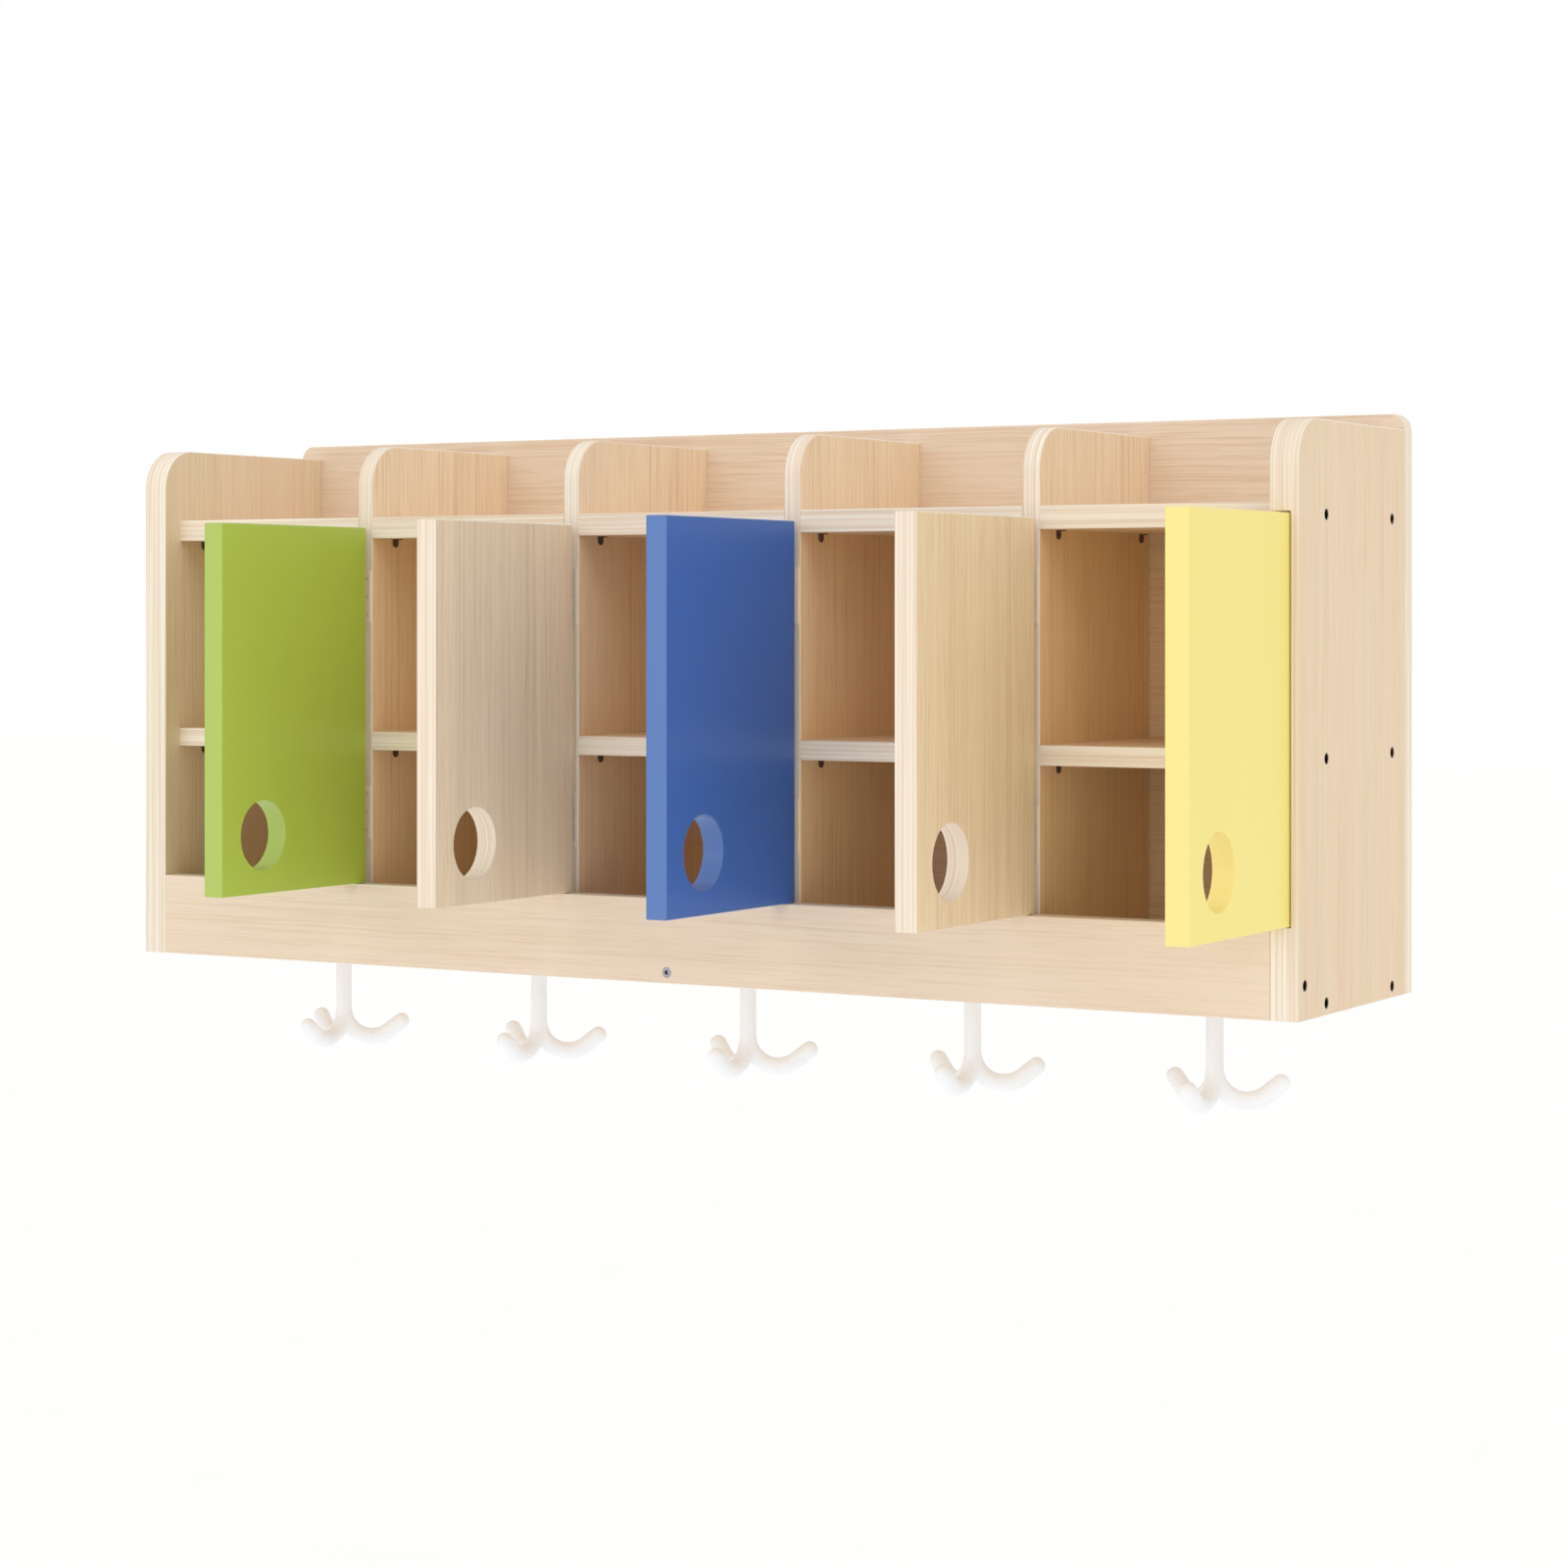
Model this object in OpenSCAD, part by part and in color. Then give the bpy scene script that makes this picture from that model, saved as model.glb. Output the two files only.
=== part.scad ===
// Wall coat rack with a row of lockers under open cubbies, and three-armed hooks below.
// X runs along the wall, Y runs back to the wall and Z is up.
// Each piece is drawn from the left front bottom corner of the case, and place() then moves the
// whole rack so that its origin lies on the wall face, at the centre of the wall screws.
// The doors are drawn standing open at a right angle, each hinged on the right of its locker.

/* [Case] */
// Overall width of the rack
rack_w = 1200; // [1100:10:1400]
// Depth of the side panels in front of the back panel
side_d = 247; // [220:1:300]
// Height of the side panels and dividers
side_h = 489; // [470:1:560]
// Thickness of the side panels
side_t = 25; // [23:0.5:32]
// Radius of the rounded front top corner of the sides and dividers
side_corner_r = 38; // [10:1:60]
// Height of the back panel
back_h = 503; // [480:1:600]
// Thickness of the back panel
back_t = 16; // [12:0.5:22]
// Radius of the two top corners of the back panel
back_corner_r = 14; // [4:1:30]

/* [Dividers and shelves] */
// Thickness of the upright dividers
divider_t = 16; // [15:0.5:20]
// Height of the underside of the top shelves
top_shelf_z = 401; // [380:1:420]
// Thickness of the top shelves
top_shelf_t = 20; // [16:0.5:25]
// Height of the underside of the middle shelves
mid_shelf_z = 202.5; // [170:0.5:240]
// Thickness of the middle shelves
mid_shelf_t = 16; // [15:0.5:20]
// Thickness of the bottom board
bottom_t = 20; // [18:0.5:25]
// Height of the front apron
apron_h = 76; // [60:1:90]
// Thickness of the front apron
apron_t = 20; // [16:0.5:20]

/* [Doors] */
// Thickness of a door
door_t = 20; // [18:0.5:21]
// How far a closed door lies behind the front edges of the side panels
door_recess = 0.5; // [0.5:0.1:2]
// Gap between the back of a closed door and the shelves
door_back_gap = 1.5; // [1:0.1:3]
// Gap over the apron, and under the top of the rebate in the right side
door_end_gap = 1.5; // [1:0.1:3]
// Least gap between a door's swinging corner and the next door
swing_gap = 0.8; // [0.6:0.1:1.2]
// Radius of the round finger hole
finger_r = 31.5; // [25:0.5:38]
// Centre of the finger hole from the door's free edge
finger_in = 58.6; // [50:0.1:70]
// Centre of the finger hole above the door's bottom edge
finger_up = 51.9; // [45:0.1:70]

/* [Hinges] */
// Height of a hinge
hinge_h = 50; // [40:1:60]
// Distance from the top or bottom edge of a door to the near end of a hinge
hinge_inset = 40; // [25:1:70]
// Outer radius of a hinge knuckle
knuckle_r = 3; // [2.9:0.1:3.2]
// Radius of a hinge pin
hinge_pin_r = 1.5; // [1.2:0.1:1.8]
// Running clearance round the pin in the door leaf's knuckle
pin_play = 0.05; // [0.02:0.01:0.1]
// Clearance between neighbouring knuckles along the pin
knuckle_play = 0.3; // [0.2:0.1:0.6]
// Thickness of the hinge leaves
leaf_t = 1.8; // [1.6:0.1:2]
// Distance from a door's hinged edge to the centre of the pin
pin_from_edge = 4.4; // [4.2:0.1:4.8]
// Distance from a door's back face to the centre of the pin
pin_from_back = 5; // [4.6:0.1:6]

/* [Hooks] */
// Radius of the upright post of a hook
post_r = 8.5; // [8.2:0.1:10]
// Radius of an arm
arm_r = 8; // [6:0.1:8]
// Radius of the bend that each arm makes, to its centre line
arm_bend_r = 28; // [22:0.5:36]
// Depth below the case at which the arms begin to bend out
hook_drop = 61; // [50:1:80]
// Straight length of an arm past its bend
arm_tail = 15; // [8:0.5:24]
// Distance of the hooks behind the front of the case
hook_y = 142; // [100:1:180]
// Radius of the round foot that is screwed to the bottom board
foot_r = 20; // [18:0.5:26]
// Thickness of the foot
foot_t = 4; // [3:0.5:6]

/* [Screws and shelf supports] */
// Radius of the heads of the case screws
case_head_r = 4.4; // [3.8:0.1:5]
// Radius of the shanks of the case screws
case_shank_r = 2.5; // [2:0.1:3]
// Length of the case screws
case_screw_l = 60; // [45:1:70]
// Radius of the head of the apron screw
apron_head_r = 4.2; // [3.6:0.1:5]
// Radius of a countersunk screw's head
small_head_r = 3.6; // [3:0.1:4]
// Radius of a countersunk screw's shank
small_shank_r = 1.75; // [1.5:0.05:2]
// Length of the screws through the back panel and the bottom board
panel_screw_l = 40; // [32:1:50]
// Length of the screws through the foot of a hook
hook_screw_l = 18; // [12:1:20]
// Radius of the four holes for the wall screws
wall_hole_r = 2.75; // [2.25:0.25:3.5]
// Distance between the upper and lower wall screws
wall_rise = 300; // [240:1:310]
// Height of the lower wall screws above the bottom of the case
wall_low_z = 60; // [40:1:70]
// Width of a shelf support
support_w = 9; // [8:0.1:11]
// Drop of a shelf support below its shelf
support_drop = 10.5; // [9.5:0.1:14]
// Reach of a shelf support under its shelf
support_reach = 8; // [6:0.1:10]
// Thickness of a shelf support's two limbs
support_t = 2; // [1.5:0.1:2.5]
// Radius of a shelf support's peg
peg_r = 2.5; // [2:0.1:3]
// Length of a shelf support's peg
peg_l = 7; // [5:0.1:7.2]

/* [Hidden] */
bays = 5;
// One overrun serves all cuts
over = 1;
// Clearance round a screw or a peg in its hole, and at the blind end of that hole
hole_play = 0.15;
// Case screws: depth of the head below the panel, its height, and its six-sided socket
case_head_sunk = 1;
case_head_l = 4;
socket_r = 2.3;
socket_l = 2.8;
// Places of the case screws behind the front, before the rear edge, and in the apron's end
case_screw_front = 61.2;
case_screw_rear = 32.7;
apron_end_y = 13.8;
apron_end_z = 28.4;
// Apron screw: height of its head, radius of its shank and its length
apron_head_l = 3;
apron_shank_r = 2.2;
apron_screw_l = 50;
// Countersunk screws: height of the head, and how far it is sunk below the face
small_head_l = 2.6;
small_head_sunk = 0.3;
// Heights of the back panel's screws, as shares of the height of the sides
back_screw_height_shares = [0.12, 0.5, 0.88];
// Places of the bottom board's screws, as shares of the depth of the sides
bottom_screw_depth_shares = [0.28, 0.8];
// Radius of the countersink of a wall hole, and its depth
wall_sink_r = 5;
wall_sink_l = 2.5;
// Places of the shelf supports behind the front of a shelf and before its rear edge
support_front = 36;
support_rear = 18;
// Hinge: free edge of the door leaf short of the door's face, and of the frame leaf on its board
leaf_margin = 1.5;
// Width of the neck that joins the door leaf to its knuckle
neck_w = 3;
// Clearance of each leaf beside the other leaf's knuckles
leaf_relief = 0.6;
// Cranked leg of the frame leaf: its near side from the centre of the pin
leg_from_pin = 1.2;
// Share of the hinge's height that the middle knuckle takes
mid_knuckle_share = 0.36;
// Head of a hinge pin: its radius beyond the pin and its height
pin_head_over = 0.9;
pin_head_l = 1.2;
// Turn of an arm from straight down, at its cut end inside the hub and at the end of its bend
arm_start_turn = 20;
arm_turn = 128;
// Directions of the three arms
arm_directions = [30, 150, 270];
// Screws of a hook's foot: distance from the post, as a share of the foot's radius, and their turn
foot_screw_share = 0.72;
foot_screw_turn = 30;
// How far the hub stands over the arms' cut ends, and the taper of its tip
hub_lap = 0.05;
hub_tip_share = 0.5;

// Depth with the back panel, and the centre of the wall screws
rack_depth = side_d + back_t;
origin_z = wall_low_z + wall_rise / 2;
bay_w = (rack_w - 2 * side_t - (bays - 1) * divider_t) / bays;
// Dividers and shelves stand behind the closed doors
front_y = door_recess + door_t + door_back_gap;
inner_d = side_d - front_y;
top_mid_z = top_shelf_z + top_shelf_t / 2;
mid_mid_z = mid_shelf_z + mid_shelf_t / 2;
// Door height runs from over the apron to the middle of the top shelf's front
door_z = apron_h + door_end_gap;
door_h = top_mid_z - door_z;
// The corner of a turning door sweeps this far from the pin
sweep_r = norm([pin_from_edge, door_t - pin_from_back]);
door_side_gap = (pin_from_edge + sweep_r + swing_gap - divider_t) / 2;
door_w = bay_w - 2 * door_side_gap;
pin_y = door_recess + door_t - pin_from_back;
rebate_w = pin_from_edge + sweep_r + swing_gap - door_side_gap;
rebate_top = door_z + door_h + door_end_gap;
knuckle_mid_h = hinge_h * mid_knuckle_share;
knuckle_end_h = (hinge_h - knuckle_mid_h) / 2 - knuckle_play;
hinge_heights = [door_z + hinge_inset, door_z + door_h - hinge_inset - hinge_h];
wall_heights = [wall_low_z, wall_low_z + wall_rise];

birch = "#ead2b4";
door_colours = ["#a2b441", "#ead2b4", "#3e5c9b", "#ead2b4", "#f6e88c"];
plastic_white = "#f4f1ea";
screw_black = "#1b1a19";
zinc = "#a9a8a6";
support_brown = "#3b2a20";
hinge_steel = "#c9c7c2";

$fn = 64;

function bay_left(k) = side_t + (k - 1) * (bay_w + divider_t);
function bay_right(k) = bay_left(k) + bay_w;
function bay_mid(k) = bay_left(k) + bay_w / 2;
function pin_x(k) = bay_right(k) - door_side_gap + pin_from_edge;
// Uprights are numbered from the left side, 0, to the right side, bays
function upright_mid(i) = i == 0 ? side_t / 2 :
    i == bays ? rack_w - side_t / 2 : bay_right(i) + divider_t / 2;

module place() {
    translate([-rack_w / 2, -rack_depth, -origin_z]) children();
}

// Lays an outline drawn in Y and Z upright, and gives it a thickness along X
module upright(x, t) {
    translate([x, 0, 0]) rotate([90, 0, 90]) linear_extrude(t) children();
}

// Points a piece drawn along Z the other way round or along an axis of the case
module along_x() {
    rotate([0, 90, 0]) children();
}

module along_y() {
    rotate([-90, 0, 0]) children();
}

module against_y() {
    rotate([90, 0, 0]) children();
}

// Outline of a side or divider, from the height z, with its front top corner rounded
module upright_outline(front, rear, z, top, r) {
    translate([front, z]) square([rear - front, top - z - r]);
    translate([front + r, z]) square([rear - front - r, top - z]);
    translate([front + r, top - r]) circle(r);
}

// Case screws, which run in from both sides of the rack
module at_case_screws() {
    case_screw_places = [
        for (z = [top_mid_z, mid_mid_z, bottom_t / 2])
            for (y = [case_screw_front, side_d - case_screw_rear]) [y, z],
        [apron_end_y, apron_end_z]
    ];
    for (p = case_screw_places) {
        translate([0, p[0], p[1]]) along_x() children();
        translate([rack_w, p[0], p[1]]) mirror([1, 0, 0]) along_x() children();
    }
}

module case_screw() {
    difference() {
        translate([0, 0, case_head_sunk]) cylinder(h = case_head_l, r = case_head_r);
        translate([0, 0, case_head_sunk - over]) cylinder(h = socket_l + over, r = socket_r, $fn = 6);
    }
    translate([0, 0, case_head_sunk + case_head_l])
        cylinder(h = case_screw_l - case_head_l, r = case_shank_r);
}

module case_screw_bore() {
    translate([0, 0, -over]) cylinder(h = case_head_sunk + case_head_l + over, r = case_head_r + hole_play);
    cylinder(h = case_screw_l, r = case_shank_r + hole_play);
}

module case_screw_pilot() {
    cylinder(h = case_screw_l + case_head_sunk, r = case_shank_r);
}

// Countersunk screws, drawn with the head's face at 0 and the shank along +Z
module small_screw(l) {
    translate([0, 0, small_head_sunk]) {
        cylinder(h = small_head_l, r1 = small_head_r, r2 = small_shank_r);
        translate([0, 0, small_head_l]) cylinder(h = l - small_head_l, r = small_shank_r);
    }
}

module small_screw_bore(t) {
    translate([0, 0, -over]) cylinder(h = small_head_sunk + over, r = small_head_r + hole_play);
    translate([0, 0, small_head_sunk])
        cylinder(h = small_head_l, r1 = small_head_r + hole_play, r2 = small_shank_r + hole_play);
    cylinder(h = t + over, r = small_shank_r + hole_play);
}

module small_screw_pilot(l) {
    cylinder(h = small_head_sunk + l, r = small_shank_r);
}

// Screws through the back panel into upright i
module at_back_screws(i) {
    for (share = back_screw_height_shares)
        translate([upright_mid(i), rack_depth, side_h * share]) against_y() children();
}

// Screws up through the bottom board into divider i
module at_bottom_screws(i) {
    for (share = bottom_screw_depth_shares)
        translate([upright_mid(i), side_d * share, 0]) children();
}

module at_hook_screws(k) {
    for (turn = [foot_screw_turn : 120 : foot_screw_turn + 240])
        translate([bay_mid(k), hook_y, -foot_t]) rotate([0, 0, turn])
            translate([foot_r * foot_screw_share, 0, 0]) children();
}

// Four shelf supports for each of the two shelves of bay k, drawn against the left of the bay
module at_supports(k) {
    for (z = [top_shelf_z, mid_shelf_z])
        for (y = [front_y + support_front, side_d - support_rear]) {
            translate([bay_left(k), y, z]) children();
            translate([bay_right(k), y, z]) mirror([1, 0, 0]) children();
        }
}

module shelf_support() {
    peg_z = support_w / 2 - support_drop;
    upright(0, support_t) {
        translate([-support_w / 2, peg_z]) square([support_w, -peg_z]);
        translate([0, peg_z]) circle(support_w / 2);
    }
    translate([0, -support_w / 2, -support_t]) cube([support_reach, support_w, support_t]);
    translate([-peg_l, 0, peg_z]) along_x() cylinder(h = peg_l + support_t / 2, r = peg_r);
}

module peg_bore() {
    peg_z = support_w / 2 - support_drop;
    translate([-peg_l - hole_play, 0, peg_z]) along_x() cylinder(h = peg_l + hole_play + over, r = peg_r);
}

// The right side has a rebate behind its front edge, which the last door turns in
module side_panel(i) {
    inner_bay = i == 0 ? 1 : bays;
    difference() {
        upright(upright_mid(i) - side_t / 2, side_t)
            upright_outline(0, side_d, 0, side_h, side_corner_r);
        at_case_screws() case_screw_bore();
        at_supports(inner_bay) peg_bore();
        at_back_screws(i) small_screw_pilot(panel_screw_l);
        if (i == bays)
            translate([bay_right(bays) - over, -over, apron_h])
                cube([rebate_w + over, front_y + over, rebate_top - apron_h]);
    }
}

module left_side() {
    color(birch) side_panel(0);
}

module right_side() {
    color(birch) side_panel(bays);
}

module back_panel() {
    color(birch) difference() {
        translate([0, rack_depth, 0]) against_y() linear_extrude(back_t) {
            square([rack_w, back_h - back_corner_r]);
            translate([back_corner_r, 0]) square([rack_w - 2 * back_corner_r, back_h]);
            for (x = [back_corner_r, rack_w - back_corner_r])
                translate([x, back_h - back_corner_r]) circle(back_corner_r);
        }
        for (i = [0 : bays]) at_back_screws(i) small_screw_bore(back_t);
        for (x = [bay_mid(1), bay_mid(bays)])
            for (z = wall_heights)
                translate([x, side_d, z]) along_y() {
                    translate([0, 0, -over]) cylinder(h = back_t + 2 * over, r = wall_hole_r);
                    translate([0, 0, -over]) cylinder(h = over, r = wall_sink_r);
                    cylinder(h = wall_sink_l, r1 = wall_sink_r, r2 = wall_hole_r);
                }
    }
}

module divider(i) {
    color(birch) difference() {
        upright(bay_right(i), divider_t)
            upright_outline(front_y, side_d, bottom_t, side_h, side_corner_r);
        at_supports(i) peg_bore();
        at_supports(i + 1) peg_bore();
        at_back_screws(i) small_screw_pilot(panel_screw_l);
        at_bottom_screws(i) small_screw_pilot(panel_screw_l);
    }
}

// Only the two end shelves take screws from the sides
module shelf(k, z, t) {
    difference() {
        translate([bay_left(k), front_y, z]) cube([bay_w, inner_d, t]);
        if (k == 1 || k == bays) at_case_screws() case_screw_pilot();
    }
}

module top_shelf(k) {
    color(birch) shelf(k, top_shelf_z, top_shelf_t);
}

module middle_shelf(k) {
    color(birch) shelf(k, mid_shelf_z, mid_shelf_t);
}

module at_apron_screw() {
    translate([rack_w / 2, 0, bottom_t / 2]) along_y() children();
}

module bottom_board() {
    color(birch) difference() {
        translate([side_t, apron_t, 0]) cube([rack_w - 2 * side_t, side_d - apron_t, bottom_t]);
        at_case_screws() case_screw_pilot();
        at_apron_screw() cylinder(h = apron_screw_l, r = apron_shank_r);
        for (i = [1 : bays - 1]) at_bottom_screws(i) small_screw_bore(bottom_t);
        for (k = [1 : bays]) at_hook_screws(k) small_screw_pilot(hook_screw_l);
    }
}

module front_apron() {
    color(birch) difference() {
        translate([side_t, 0, 0]) cube([rack_w - 2 * side_t, apron_t, apron_h]);
        at_case_screws() case_screw_pilot();
        at_apron_screw() {
            translate([0, 0, -over]) cylinder(h = apron_head_l + over, r = apron_head_r + hole_play);
            cylinder(h = apron_t + over, r = apron_shank_r + hole_play);
        }
    }
}

// A door stands open, with its back towards the left and its hinged edge at the pin
module door(k) {
    hinged_y = pin_y - pin_from_edge;
    color(door_colours[k - 1]) difference() {
        translate([pin_x(k) - pin_from_back, hinged_y - door_w, door_z]) cube([door_t, door_w, door_h]);
        translate([pin_x(k) - pin_from_back - over, hinged_y - door_w + finger_in, door_z + finger_up])
            along_x() cylinder(h = door_t + 2 * over, r = finger_r);
    }
}

module at_hinges(k) {
    for (z = hinge_heights) translate([pin_x(k), pin_y, z]) children();
}

// The frame leaf holds the pin at both ends, and its foot lies on the front edge of the upright
module frame_leaf(k) {
    knuckle_heights = [0, hinge_h - knuckle_end_h];
    foot_y = front_y - pin_y - leaf_t;
    foot_end = bay_right(k) + divider_t - leaf_margin - pin_x(k);
    difference() {
        union() {
            for (z = knuckle_heights) translate([0, 0, z]) {
                cylinder(h = knuckle_end_h, r = knuckle_r);
                translate([leg_from_pin, 0, 0]) cube([knuckle_r - leg_from_pin, foot_y + leaf_t, knuckle_end_h]);
            }
            translate([leg_from_pin, foot_y, 0]) cube([foot_end - leg_from_pin, leaf_t, hinge_h]);
        }
        translate([0, 0, -over]) cylinder(h = hinge_h + 2 * over, r = hinge_pin_r);
    }
}

module hinge_frame_leaves(k) {
    color(hinge_steel) at_hinges(k) frame_leaf(k);
}

// The door leaf lies on the door's hinged edge, and its knuckle turns on the pin
module door_leaf() {
    knuckle_z = (hinge_h - knuckle_mid_h) / 2;
    leaf_start = knuckle_r + leaf_relief;
    leaf_end = door_t - pin_from_back - leaf_margin;
    difference() {
        union() {
            translate([leaf_start, -pin_from_edge, 0]) cube([leaf_end - leaf_start, leaf_t, hinge_h]);
            translate([-neck_w / 2, -pin_from_edge, knuckle_z])
                cube([leaf_start + neck_w / 2, leaf_t, knuckle_mid_h]);
            translate([-neck_w / 2, -pin_from_edge, knuckle_z]) cube([neck_w, pin_from_edge, knuckle_mid_h]);
            translate([0, 0, knuckle_z]) cylinder(h = knuckle_mid_h, r = knuckle_r);
        }
        translate([0, 0, knuckle_z - over])
            cylinder(h = knuckle_mid_h + 2 * over, r = hinge_pin_r + pin_play);
    }
}

module hinge_door_leaves(k) {
    color(hinge_steel) at_hinges(k) door_leaf();
}

module hinge_pins(k) {
    color(hinge_steel) at_hinges(k) {
        cylinder(h = hinge_h, r = hinge_pin_r);
        translate([0, 0, hinge_h]) cylinder(h = pin_head_l, r = hinge_pin_r + pin_head_over);
    }
}

// A rod with one round end, drawn along +Z from the centre of its flat end
module round_ended_rod(l, r) {
    rotate_extrude() {
        square([r, l]);
        translate([0, l]) intersection() {
            circle(r);
            square(r);
        }
    }
}

// One arm along +X, which bends out from under the post and rises to a round tip
module hook_arm() {
    translate([arm_bend_r, 0, -hook_drop]) rotate([90, 0, 0]) rotate([0, 0, 180 + arm_turn]) {
        rotate_extrude(angle = arm_start_turn - arm_turn) translate([arm_bend_r, 0]) circle(arm_r);
        translate([arm_bend_r, 0, 0]) along_y() round_ended_rod(arm_tail, arm_r);
    }
}

// The post swells into a hub, which follows the inside of the bends and holds the arms' cut ends
module hook_post() {
    hub_r = arm_bend_r - (arm_bend_r - arm_r) * cos(arm_start_turn) + hub_lap;
    hub_top = hook_drop + (arm_bend_r - arm_r) * sin(arm_start_turn);
    hub_low = hook_drop + (arm_bend_r + arm_r) * sin(arm_start_turn);
    rotate_extrude() polygon([
        [0, 0],
        [post_r, 0],
        [post_r, -hook_drop],
        [hub_r, -hub_top],
        [hub_r, -hub_low],
        [hub_r * hub_tip_share, -hub_low - arm_r * hub_tip_share],
        [0, -hub_low - arm_r * hub_tip_share]
    ]);
}

module hook(k) {
    color(plastic_white) difference() {
        translate([bay_mid(k), hook_y, 0]) {
            translate([0, 0, -foot_t]) cylinder(h = foot_t, r = foot_r);
            hook_post();
            for (turn = arm_directions) rotate([0, 0, turn]) hook_arm();
        }
        at_hook_screws(k) small_screw_bore(foot_t);
    }
}

module hook_screws() {
    color(zinc) for (k = [1 : bays]) at_hook_screws(k) small_screw(hook_screw_l);
}

module shelf_supports() {
    color(support_brown) for (k = [1 : bays]) at_supports(k) shelf_support();
}

module case_screws() {
    color(screw_black) at_case_screws() case_screw();
}

module apron_screw() {
    color(zinc) at_apron_screw() {
        difference() {
            cylinder(h = apron_head_l, r = apron_head_r);
            translate([0, 0, -over]) cylinder(h = apron_head_l / 2 + over, r = socket_r, $fn = 6);
        }
        translate([0, 0, apron_head_l]) cylinder(h = apron_screw_l - apron_head_l, r = apron_shank_r);
    }
}

module back_screws() {
    color(zinc) for (i = [0 : bays]) at_back_screws(i) small_screw(panel_screw_l);
}

module bottom_screws() {
    color(zinc) for (i = [1 : bays - 1]) at_bottom_screws(i) small_screw(panel_screw_l);
}

place() left_side();
place() right_side();
place() back_panel();
for (k = [1 : bays - 1])
    place() divider(k);
for (k = [1 : bays]) {
    place() top_shelf(k);
    place() middle_shelf(k);
    place() door(k);
    place() hinge_frame_leaves(k);
    place() hinge_door_leaves(k);
    place() hinge_pins(k);
    place() hook(k);
}
place() bottom_board();
place() front_apron();
place() hook_screws();
place() shelf_supports();
place() case_screws();
place() apron_screw();
place() back_screws();
place() bottom_screws();
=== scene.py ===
"""Wall coat rack with lockers: finished boards, doors, hooks and fittings around the fixed frame."""

import math

import bpy
from mathutils import Matrix, Vector


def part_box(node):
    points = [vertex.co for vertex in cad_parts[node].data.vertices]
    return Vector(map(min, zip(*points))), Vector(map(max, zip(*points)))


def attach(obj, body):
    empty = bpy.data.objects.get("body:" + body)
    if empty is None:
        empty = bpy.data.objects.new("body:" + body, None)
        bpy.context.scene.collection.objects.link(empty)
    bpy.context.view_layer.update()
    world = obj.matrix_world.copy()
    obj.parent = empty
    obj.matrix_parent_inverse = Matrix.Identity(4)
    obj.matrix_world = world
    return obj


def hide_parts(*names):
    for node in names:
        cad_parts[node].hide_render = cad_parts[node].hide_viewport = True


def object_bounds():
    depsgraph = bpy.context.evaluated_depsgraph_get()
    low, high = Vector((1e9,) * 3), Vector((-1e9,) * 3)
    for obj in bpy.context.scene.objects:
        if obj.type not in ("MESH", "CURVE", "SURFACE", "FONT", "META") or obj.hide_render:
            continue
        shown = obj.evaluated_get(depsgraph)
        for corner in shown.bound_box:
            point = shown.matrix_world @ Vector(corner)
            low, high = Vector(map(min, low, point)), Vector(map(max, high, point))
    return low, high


bl_info = {
    "name": "Wall coat rack with lockers",
    "version": (1, 0, 0),
    "blender": (4, 5, 0),
    "location": "View3D > Sidebar > Coat rack",
    "description": "Adds the finished boards, doors, hooks and fittings of a wall coat rack",
    "category": "Add Mesh",
}

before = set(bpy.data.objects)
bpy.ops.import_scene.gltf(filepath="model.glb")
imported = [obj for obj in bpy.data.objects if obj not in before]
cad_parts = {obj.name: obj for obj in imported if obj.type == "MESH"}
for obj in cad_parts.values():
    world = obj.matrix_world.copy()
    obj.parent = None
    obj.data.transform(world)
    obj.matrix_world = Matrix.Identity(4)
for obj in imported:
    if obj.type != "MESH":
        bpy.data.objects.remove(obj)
CAD_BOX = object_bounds()

BAYS = 5
LOCKERS = range(1, BAYS + 1)
X, Y, Z = range(3)
RIGHT, REARWARD, UP = Vector((1, 0, 0)), Vector((0, 1, 0)), Vector((0, 0, 1))
# Edges that turn by more than this are sharp
SHARP = math.radians(40)
# Faces that turn by less than this are shaded as one
SMOOTH = math.radians(35)
# Steps round a softened edge
EDGE_STEPS = 3
# Cutting pieces stand this far out of what they cut
OVERRUN = 0.001
# Two places nearer than this are the same
NEAR = 0.0001
# Directions of a hook's arms and foot screws
HOOK_TURNS = tuple(math.radians(degrees) for degrees in (30, 150, 270))
# What X, Y and Z are to the grain of a board
UPRIGHT_GRAIN, LEVEL_GRAIN = ("seed", "across", "along"), ("along", "across", "across")
# Finish of each door, from the left
DOOR_PAINTS = ("green", "birch", "blue", "birch", "yellow")


def screen(red, green, blue):
    """A colour given as a screen shows it, 0 to 255, made linear."""
    shares = [channel / 255 for channel in (red, green, blue)]
    return tuple(((share + 0.055) / 1.055) ** 2.4 for share in shares)


def length(name, description, default):
    """A length that a user may change."""
    return bpy.props.FloatProperty(
        name=name, description=description, default=default, min=0.0, precision=5, unit="LENGTH")


def angle(name, description, degrees):
    """An angle that a user may change."""
    return bpy.props.FloatProperty(
        name=name, description=description, default=math.radians(degrees), subtype="ANGLE")


def colour(name, description, default):
    """A linear colour that a user may change."""
    return bpy.props.FloatVectorProperty(
        name=name, description=description, default=default, subtype="COLOR", size=3, min=0.0, soft_max=1.0)


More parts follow.
